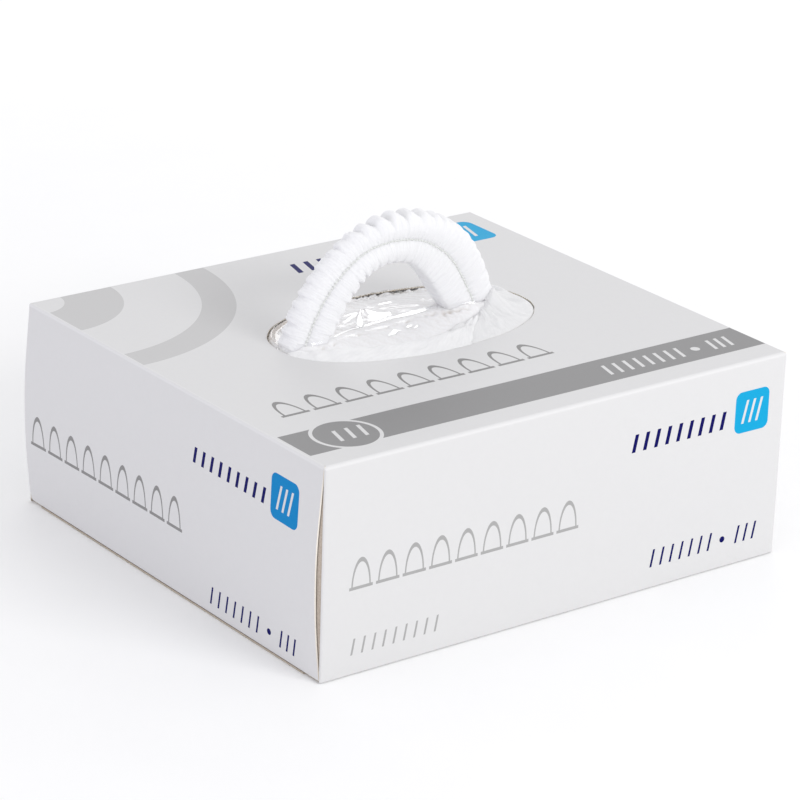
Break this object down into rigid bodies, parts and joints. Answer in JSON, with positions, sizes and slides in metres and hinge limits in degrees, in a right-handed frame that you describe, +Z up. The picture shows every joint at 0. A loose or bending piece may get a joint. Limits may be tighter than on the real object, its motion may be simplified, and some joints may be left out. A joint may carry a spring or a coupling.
{
  "type": "pleated nurse cap in dispenser carton",
  "caption": "Dispenser carton with an oval lid mouth and clear slit film; a pleated nurse cap stands up through it as a soft arch.",
  "frame": {"origin": "middle of the carton's base, on the surface that it rests on", "axes": "+X along the carton's front panel, +Y from the front panel to the back panel, +Z up"},
  "size_m": [0.272, 0.25, 0.1631],
  "materials": {
    "board_sleeve": "white coated folding boxboard, satin print with grey bars",
    "board_closure": "white coated folding boxboard, satin print",
    "board_flap": "uncoated grey-brown back of the boxboard",
    "clear_film": "thin clear film, crinkled and glossy",
    "packed_cloth": "packed white nonwoven in pleats",
    "cap_nonwoven": "soft white spunbond nonwoven, finely pleated",
    "elastic_thread": "greenish grey elastic thread in the seam"
  },
  "bodies": {
    "root": {"carton_sleeve": "board_sleeve", "closure_left": "board_closure", "closure_right": "board_closure", "dust_flap_front_left": "board_flap", "dust_flap_back_left": "board_flap", "dust_flap_front_right": "board_flap", "dust_flap_back_right": "board_flap", "window_film": "clear_film", "packed_fill": "packed_cloth", "cap_cloth": "cap_nonwoven", "cap_elastic": "elastic_thread"}
  },
  "joints": []
}
